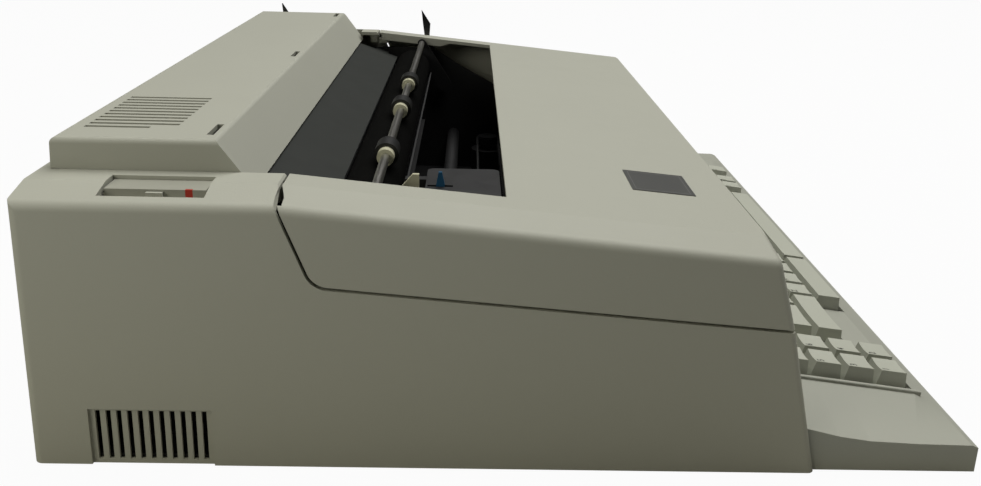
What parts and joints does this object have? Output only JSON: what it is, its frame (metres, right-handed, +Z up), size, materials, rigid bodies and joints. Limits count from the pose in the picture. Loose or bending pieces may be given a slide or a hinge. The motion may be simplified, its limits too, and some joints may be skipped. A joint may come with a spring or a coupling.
{
  "type": "electronic typewriter",
  "caption": "Desktop electronic typewriter with a wedge keyboard, hinged sloping front cover, platen and paper bail in an open window, and a raised vented rear cover.",
  "frame": {"origin": "on the table under the middle of the bounding box", "axes": "+X to the typist's right, +Y to the back, +Z up"},
  "size_m": [0.558, 0.484, 0.1692],
  "materials": {
    "case": "fine grained",
    "cover": "fine grained",
    "keyboard": "fine grained",
    "keycap": "satin",
    "dark_plastic": "satin",
    "black_plastic": "satin",
    "blue_plastic": "gloss",
    "cream_plastic": "satin",
    "clear_plastic": "gloss",
    "steel": "brushed",
    "zinc": "satin",
    "rubber": "matt",
    "board": "satin"
  },
  "bodies": {
    "machine": {"rear_housing": "case", "base_pan": "zinc", "case_screws": "steel", "rubber_feet": "rubber", "rear_top_cover": "cover", "hinge_pins": "steel", "keyboard_top": "keyboard", "keyboard_base": "zinc", "key_switch_plate": "zinc", "keyboard_circuit_board": "board", "side_frames": "zinc", "carriage_rails": "steel", "paper_guide": "steel", "paper_table": "dark_plastic", "platen_motor": "zinc", "drive_motor": "zinc", "idler_post": "zinc", "drive_belt": "rubber", "power_supply": "zinc", "logic_board": "board", "power_inlet": "black_plastic"},
    "cover": {"front_cover": "cover", "cover_plate": "black_plastic"},
    "platen": {"platen_roller": "rubber", "platen_shaft": "steel", "platen_gear": "black_plastic"},
    "pinion": {"platen_pinion": "black_plastic"},
    "cradle": {"feed_roller_cradle": "zinc"},
    "pressure_rollers": {"feed_rollers": "rubber"},
    "paper_bail": {"bail_shaft": "steel", "bail_arms": "zinc", "bail_lever": "black_plastic"},
    "left_roller": {"bail_roller_left": "cream_plastic"},
    "centre_roller": {"bail_roller_centre": "cream_plastic"},
    "right_roller": {"bail_roller_right": "cream_plastic"},
    "release": {"paper_release_lever": "black_plastic"},
    "carriage": {"carriage_frame": "black_plastic", "print_wheel_motor": "zinc", "hammer_solenoid": "zinc", "ribbon_cartridge": "dark_plastic", "card_holder": "cream_plastic"},
    "wheel": {"print_wheel": "black_plastic", "print_wheel_shaft": "steel"},
    "hammer_pin": {"hammer": "steel"},
    "ribbon_lift": {"ribbon_lever": "blue_plastic"},
    "motor_pulley": {"drive_pulley": "black_plastic"},
    "far_pulley": {"idler_pulley": "black_plastic"},
    "rocker": {"power_rocker": "black_plastic"},
    "code_key_set": {"code_key": "keycap"},
    "space_bar_set": {"space_bar": "keycap"},
    "left_shift_key_set": {"left_shift_key": "keycap"},
    "right_shift_key_set": {"right_shift_key": "keycap"},
    "lower_row_keys_set": {"lower_row_keys": "keycap"},
    "home_row_keys_set": {"home_row_keys": "keycap"},
    "return_key_set": {"return_key": "keycap"},
    "upper_row_keys_set": {"upper_row_keys": "keycap"},
    "number_row_keys_set": {"number_row_keys": "keycap"},
    "backspace_key_set": {"backspace_key": "keycap"},
    "left_function_keys_set": {"left_function_keys": "keycap"},
    "right_function_keys_set": {"right_function_keys": "keycap"}
  },
  "joints": [
    {"name": "cover_hinge", "type": "hinge", "parent": "machine", "child": "cover", "pos_m": [0, 0.1195, 0.1405], "axis": [-1, 0, 0], "range_deg": [0, 55]},
    {"name": "platen_turn", "type": "hinge", "parent": "machine", "child": "platen", "pos_m": [0, 0.081, 0.114], "axis": [1, 0, 0], "continuous": true},
    {"name": "pinion_turn", "type": "hinge", "parent": "machine", "child": "pinion", "pos_m": [0, 0.081, 0.087], "axis": [1, 0, 0], "continuous": true},
    {"name": "cradle_rock", "type": "hinge", "parent": "machine", "child": "cradle", "pos_m": [0, 0.104, 0.072], "axis": [1, 0, 0], "range_deg": [0, 2.5]},
    {"name": "pressure_roller_turn", "type": "hinge", "parent": "cradle", "child": "pressure_rollers", "pos_m": [0, 0.07286, 0.09163], "axis": [1, 0, 0], "continuous": true},
    {"name": "bail_hinge", "type": "hinge", "parent": "machine", "child": "paper_bail", "pos_m": [0, 0.05, 0.096], "axis": [1, 0, 0], "range_deg": [0, 20]},
    {"name": "left_roller_turn", "type": "hinge", "parent": "paper_bail", "child": "left_roller", "pos_m": [-0.161, 0.0727, 0.1365], "axis": [1, 0, 0], "continuous": true},
    {"name": "centre_roller_turn", "type": "hinge", "parent": "paper_bail", "child": "centre_roller", "pos_m": [-0.045, 0.0727, 0.1365], "axis": [1, 0, 0], "continuous": true},
    {"name": "right_roller_turn", "type": "hinge", "parent": "paper_bail", "child": "right_roller", "pos_m": [0.042, 0.0727, 0.1365], "axis": [1, 0, 0], "continuous": true},
    {"name": "release_hinge", "type": "hinge", "parent": "machine", "child": "release", "pos_m": [0.265, 0.196, 0.104], "axis": [1, 0, 0], "range_deg": [0, 22]},
    {"name": "carriage_slide", "type": "slide", "parent": "machine", "child": "carriage", "axis": [1, 0, 0], "range_m": [0, 0.4]},
    {"name": "wheel_turn", "type": "hinge", "parent": "carriage", "child": "wheel", "pos_m": [-0.202, 0.057, 0.081], "axis": [0, 1, 0], "continuous": true},
    {"name": "hammer_slide", "type": "slide", "parent": "carriage", "child": "hammer_pin", "axis": [0, 1, 0], "range_m": [0, 0.0034], "stiffness_N_per_m": 60},
    {"name": "ribbon_lever_hinge", "type": "hinge", "parent": "carriage", "child": "ribbon_lift", "pos_m": [-0.207, 0.04, 0.1265], "axis": [1, 0, 0], "range_deg": [-12, 12]},
    {"name": "motor_pulley_turn", "type": "hinge", "parent": "machine", "child": "motor_pulley", "pos_m": [0.226, 0.005, 0.041], "axis": [0, 0, 1], "range_deg": [-2170, 0]},
    {"name": "far_pulley_turn", "type": "hinge", "parent": "machine", "child": "far_pulley", "pos_m": [-0.226, 0.005, 0.041], "axis": [0, 0, 1], "range_deg": [-2170, 0]},
    {"name": "rocker_hinge", "type": "hinge", "parent": "machine", "child": "rocker", "pos_m": [-0.256, 0.1755, 0.14], "axis": [1, 0, 0], "range_deg": [-4, 4]},
    {"name": "code_key_press", "type": "slide", "parent": "machine", "child": "code_key_set", "axis": [0, 0.1288, -0.9917], "range_m": [0, 0.004], "stiffness_N_per_m": 200},
    {"name": "space_bar_press", "type": "slide", "parent": "machine", "child": "space_bar_set", "axis": [0, 0.1288, -0.9917], "range_m": [0, 0.004], "stiffness_N_per_m": 260},
    {"name": "left_shift_key_press", "type": "slide", "parent": "machine", "child": "left_shift_key_set", "axis": [0, 0.1288, -0.9917], "range_m": [0, 0.004], "stiffness_N_per_m": 200},
    {"name": "right_shift_key_press", "type": "slide", "parent": "machine", "child": "right_shift_key_set", "axis": [0, 0.1288, -0.9917], "range_m": [0, 0.004], "stiffness_N_per_m": 200},
    {"name": "lower_row_keys_press", "type": "slide", "parent": "machine", "child": "lower_row_keys_set", "axis": [0, 0.1288, -0.9917], "range_m": [0, 0.004], "stiffness_N_per_m": 200},
    {"name": "home_row_keys_press", "type": "slide", "parent": "machine", "child": "home_row_keys_set", "axis": [0, 0.1288, -0.9917], "range_m": [0, 0.004], "stiffness_N_per_m": 200},
    {"name": "return_key_press", "type": "slide", "parent": "machine", "child": "return_key_set", "axis": [0, 0.1288, -0.9917], "range_m": [0, 0.004], "stiffness_N_per_m": 200},
    {"name": "upper_row_keys_press", "type": "slide", "parent": "machine", "child": "upper_row_keys_set", "axis": [0, 0.1288, -0.9917], "range_m": [0, 0.004], "stiffness_N_per_m": 200},
    {"name": "number_row_keys_press", "type": "slide", "parent": "machine", "child": "number_row_keys_set", "axis": [0, 0.1288, -0.9917], "range_m": [0, 0.004], "stiffness_N_per_m": 200},
    {"name": "backspace_key_press", "type": "slide", "parent": "machine", "child": "backspace_key_set", "axis": [0, 0.1288, -0.9917], "range_m": [0, 0.004], "stiffness_N_per_m": 200},
    {"name": "left_function_keys_press", "type": "slide", "parent": "machine", "child": "left_function_keys_set", "axis": [0, 0.1288, -0.9917], "range_m": [0, 0.004], "stiffness_N_per_m": 200},
    {"name": "right_function_keys_press", "type": "slide", "parent": "machine", "child": "right_function_keys_set", "axis": [0, 0.1288, -0.9917], "range_m": [0, 0.004], "stiffness_N_per_m": 200}
  ],
  "couplings": [
    {"joint": "pinion_turn", "follows": "platen_turn", "ratio": -2.8571},
    {"joint": "pressure_roller_turn", "follows": "platen_turn", "ratio": -2.3571},
    {"joint": "cradle_rock", "follows": "release_hinge", "ratio": 0.1136},
    {"joint": "motor_pulley_turn", "follows": "carriage_slide", "rad_per_m": -94.34},
    {"joint": "far_pulley_turn", "follows": "carriage_slide", "rad_per_m": -94.34},
    {"joint": "left_roller_turn", "follows": "platen_turn", "ratio": -2.2917},
    {"joint": "centre_roller_turn", "follows": "platen_turn", "ratio": -2.2917},
    {"joint": "right_roller_turn", "follows": "platen_turn", "ratio": -2.2917}
  ]
}
